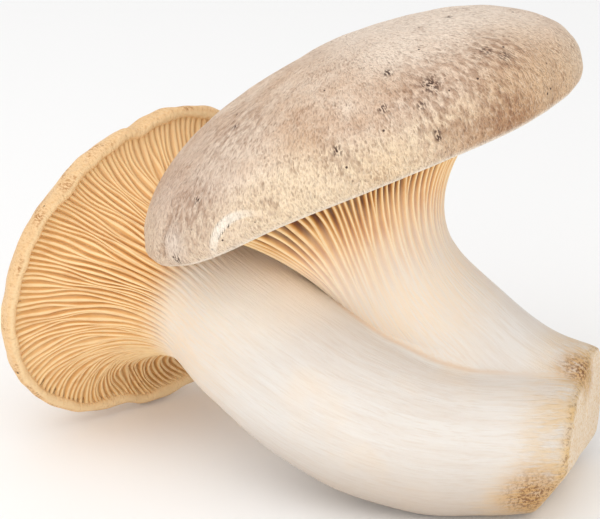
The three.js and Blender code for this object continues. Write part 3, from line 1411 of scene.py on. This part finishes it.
@dataclass
class GillSkirt(ShownPiece):
    """A cap's gills: forking blades that flare from the stem to the rolled edge."""

    cap: CapForm
    stem: StemLine
    form: GillForm
    rows: int = 70
    lowest: float = -1.0
    dive: float = 1.6
    dive_from: float = 0.25
    lip_overlap: float = 0.8
    gap: float = 0.1
    pair_closing: float = 0.45
    fork_run: Range = (0.16, -0.1)
    widest: float = 1.3
    shortest: float = 0.7
    # Where the painted shade and light in the valleys near the cap's edge starts and is full
    edge_valley_painted_shade_and_light_run: Range = (0.25, 0.7)
    run_length: float = 40.0
    phases: tuple[float, ...] = (0.0, 0.07, 0.15, 0.27, 0.5, 0.73, 0.85, 0.93)

    def flare(self, angle: Array, s: Array) -> Array:
        """Gives the flare's points.

        Args:
            angle: The angle round the cap.
            s: 1 at the edge, 0 where the flare leaves the stem, and below 0 on the stem.

        Returns:
            Places in millimetres.
        """
        away = self.cap.out(angle)
        t = self.form.start - np.minimum(s, 0.0) * self.form.fall
        spoke, _ = across(-self.stem.tangent(t), away)
        root = self.stem.at(t) + spoke * self.stem.radius(t)[:, None]
        u = np.maximum(s, 0.0)[:, None]
        seat = np.full_like(angle, self.form.seat)
        rim_radius = self.cap.edge(angle) - self.cap.lip + self.lip_overlap
        rim = self.cap.place(angle, rim_radius, seat)
        up = -self.stem.tangent(np.full_like(s, self.form.start))
        hug = around(self.form.hug, angle)[:, None]
        level = around(self.form.level, angle)[:, None]
        return (
            root * (1 + 2 * u) * (1 - u) ** 2
            + up * hug * u * (1 - u) ** 2
            + rim * u * u * (3 - 2 * u)
            + away * level * u * u * (u - 1)
        )

    def line(self, blade: Array, s: Array, forks: Array, drift: Array) -> Array:
        """Gives a blade's angle along its run, where pairs of blades meet towards the stem.

        Args:
            blade: The blade's number.
            s: The place along the run.
            forks: For each pair, where its two blades meet.
            drift: For each blade, how far it stands from its even place, over the blades' pitch.

        Returns:
            Angles in radians.
        """
        count = self.form.blades
        pitch = 2.0 * math.pi / count
        number = blade % count
        pair = forks[number // 2]
        late, early = self.fork_run
        together = smooth_step(pair + late, pair + early, s)
        inward = np.where(number % 2 == 0, self.pair_closing, -self.pair_closing)
        angle = pitch * (blade + inward * together + drift[number] * (1.0 - together))
        seed = self.form.seed
        bow = self.form.sway * np.sin(np.pi * clamp(s))
        waves = np.sin(5 * angle + 4 * s + seed) + 0.5 * np.sin(13 * angle - 6 * s)
        waves += 0.45 * np.sin(23 * angle + 11 * s + 2 * seed) + 0.3 * np.sin(37 * angle - 17 * s)
        turn = turn_from(self.form.swirl_at, angle)
        swirl = self.form.swirl * np.exp(-((turn / self.form.swirl_width) ** 2))
        return angle + bow * waves + swirl * np.sin(np.pi * clamp(s) ** 0.8)

    def build(self) -> bpy.types.Object:
        """Makes and dresses the gills.

        Returns:
            The shown piece.
        """
        form, lowest = self.form, self.lowest
        steps = len(self.phases)
        columns = form.blades * steps
        rows = self.rows + 3
        rng = np.random.default_rng(form.seed)
        forks = rng.uniform(*form.forks, form.blades // 2)
        tall = rng.uniform(self.shortest, 1.0, form.blades)
        drift = rng.uniform(-form.drift, form.drift, form.blades)
        kept: dict[str, Array] = {}

        def place(column: Array, row: Array) -> Array:
            """Gives the gills' places.

            Args:
                column: Column numbers of the grid.
                row: Row numbers of the grid.

            Returns:
                Points in metres.
            """
            blade = column // steps
            phase = np.array(self.phases)[column % steps]
            s = 1.0 - clamp((row - 2) / self.rows) * (1.0 - lowest)
            left = self.line(blade, s, forks, drift)
            right = self.line(blade + 1, s, forks, drift)
            angle = left + (right - left) * phase
            # Valleys are as deep as the blades stand apart, and crests are not all as tall
            width = np.clip((right - left) * form.blades / (2 * math.pi), 0.0, self.widest)
            crest = 1.0 - smooth_step(*form.crest, np.minimum(phase, 1.0 - phase))
            mine = np.where(phase < 0.5, blade, blade + 1) % form.blades
            runs, depths = zip(*form.relief)
            relief = np.interp(s, runs, depths)
            step = 1e-3
            outward = self.flare(angle, s + step) - self.flare(angle, s - step)
            sideways = self.flare(angle + step, s) - self.flare(angle - step, s)
            inward = unit(np.cross(outward, sideways))
            bottom = clamp((self.dive_from * lowest - s) / ((self.dive_from - 1.0) * lowest))
            sink = relief * width * (1.0 - crest * tall[mine]) + self.dive * bottom ** 2
            points = self.flare(angle, s) + inward * sink[:, None]
            # The first two rows close the skirt under the cap, and the last one inside the stem
            half = (self.cap.edge(angle) - self.cap.lip) / 2
            middle = np.full_like(angle, self.cap.flesh / 2 - self.gap)
            hidden = self.cap.place(angle, half, middle)
            points = np.where((row == 1)[:, None], hidden, points)
            top = self.cap.place(angle, angle * 0.0, np.full_like(angle, self.cap.flesh))
            points = np.where((row == 0)[:, None], top, points)
            end = self.stem.at(np.full_like(angle, form.start - lowest * form.fall))
            points = np.where((row == rows)[:, None], end, points)
            closed = 1.0 - clamp(width)
            kept["ridge"] = crest * (1.0 - closed) + closed
            kept["s"] = s
            kept["angle"] = angle
            kept["points"] = points
            return home(points)

        bm, whole = moved_ball(columns, rows, place)
        mesh = mesh_of(bm, self.name)
        s, angle, points, ridge = (kept[key][whole] for key in ("s", "angle", "points", "ridge"))
        round_it = np.stack((np.cos(angle), np.sin(angle)), axis=1) * self.stem.radii[0]
        along, _ = self.stem.nearest(points)
        store(mesh, "run", np.concatenate((round_it, s[:, None] * self.run_length), axis=1))
        store(mesh, "grain", self.stem.grain(points, along))
        store(mesh, "near_gills", form.blush(along))
        store(mesh, "ridge", ridge)
        # Valley floors near the cap's edge, where the finish paints shade on the front gills and light
        # on the rear ones
        store(mesh, "edge_valley_painted_shade_and_light", (1.0 - ridge) * smooth_step(*self.edge_valley_painted_shade_and_light_run, s))
        store(mesh, "root", smooth_step(*form.fade, s))
        return self.show(mesh)


@dataclass
class Studio:
    """The pale table, the soft light and the camera."""

    target: Point = (-0.0004, -0.0182, 0.0555)
    distance: float = 0.65
    elevation: float = 22.0
    lens: float = 169.6
    sky_strength: float = 0.79
    floor_tone: float = 0.95
    light_tone: Point = (1.0, 0.985, 0.965)

    def floor(self) -> None:
        """Lays the pale table."""
        bm = bmesh.new()
        bmesh.ops.create_grid(bm, x_segments=1, y_segments=1, size=4.0)
        floor = bpy.data.objects.new("table", mesh_of(bm, "table"))
        paint = Paint("pale_table")
        tone = (self.floor_tone, self.floor_tone, self.floor_tone, 1.0)
        paint.shader.inputs["Base Color"].default_value = tone
        paint.shader.inputs["Roughness"].default_value = 0.9
        floor.data.materials.append(paint.material)
        bpy.context.scene.collection.objects.link(floor)
        floor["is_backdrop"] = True

    def light(self, name: str, place: Point, size: float, power: float) -> None:
        """Hangs one soft light that points at the mushrooms.

        Args:
            name: The light's name.
            place: Where it hangs, in metres.
            size: The side of its square.
            power: Its power in watts.
        """
        lamp = bpy.data.lights.new(name, "AREA")
        lamp.size = size
        lamp.energy = power
        lamp.color = self.light_tone
        holder = bpy.data.objects.new(name, lamp)
        holder.location = place
        aim = Vector(self.target) - Vector(place)
        holder.rotation_euler = aim.to_track_quat("-Z", "Y").to_euler()
        bpy.context.scene.collection.objects.link(holder)

    def sky(self) -> None:
        """Sets the even white light from all round, and shows colours as they are."""
        world = bpy.data.worlds.new("studio")
        world.use_nodes = True
        background = world.node_tree.nodes["Background"]
        background.inputs[0].default_value = (1.0, 1.0, 1.0, 1.0)
        background.inputs[1].default_value = self.sky_strength
        bpy.context.scene.world = world
        bpy.context.scene.view_settings.view_transform = "Standard"

    def camera(self) -> None:
        """Places the camera at the photograph's viewing angle."""
        rise = math.radians(self.elevation)
        toward = Vector((0.0, -math.cos(rise), math.sin(rise)))
        eye = toward * self.distance + Vector(self.target)
        data = bpy.data.cameras.new("camera")
        data.lens = self.lens
        data.clip_start = 0.05
        holder = bpy.data.objects.new("camera", data)
        turn = (Vector(self.target) - eye).to_track_quat("-Z", "Y").to_matrix().to_4x4()
        holder.matrix_world = Matrix.Translation(eye) @ turn
        bpy.context.scene.collection.objects.link(holder)
        bpy.context.scene.camera = holder

    def build(self) -> None:
        """Sets up the table, the lights and the camera."""
        self.floor()
        self.sky()
        self.light("top", (-0.3, -0.25, 0.85), size=1.0, power=3.0)
        self.light("key", (-0.35, -0.85, 0.12), size=0.8, power=2.8)
        self.light("fill", (0.7, -0.5, 0.25), size=0.6, power=1.0)
        self.camera()


def main() -> None:
    """Builds the mushrooms and the studio."""
    logging.basicConfig(level=logging.INFO, format="%(name)s: %(message)s")
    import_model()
    solid_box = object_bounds()
    sub_assemblies = (
        StemPair(
            name="stem_pair",
            node="stems",
            finish=STEM_FLESH,
            stems=((FRONT_STEM, FRONT_GILLS), (REAR_STEM, REAR_GILLS)),
            cuts=FOOT_CUTS,
            room=solid_box,
        ),
        CapSkin(
            name="front_cap_skin",
            node="front_cap",
            finish=FRONT_SKIN,
            form=FRONT_CAP,
            lumps=0.4,
            folds=FRONT_FOLDS,
        ),
        CapSkin(
            name="rear_cap_skin",
            node="rear_cap",
            finish=REAR_SKIN,
            form=REAR_CAP,
            swell=0.3,
            lumps=0.7,
            seed=8.0,
        ),
        GillSkirt(
            name="front_gill_blades",
            node="front_gills",
            finish=FRONT_GILL_FLESH,
            cap=FRONT_CAP,
            stem=FRONT_STEM,
            form=FRONT_GILLS,
        ),
        GillSkirt(
            name="rear_gill_blades",
            node="rear_gills",
            finish=REAR_GILL_FLESH,
            cap=REAR_CAP,
            stem=REAR_STEM,
            form=REAR_GILLS,
        ),
    )
    for sub_assembly in sub_assemblies:
        piece = sub_assembly.build()
        LOG.info("%s: %d faces", piece.name, len(piece.data.polygons))
    Studio().build()


if __name__ == "__main__":
    main()
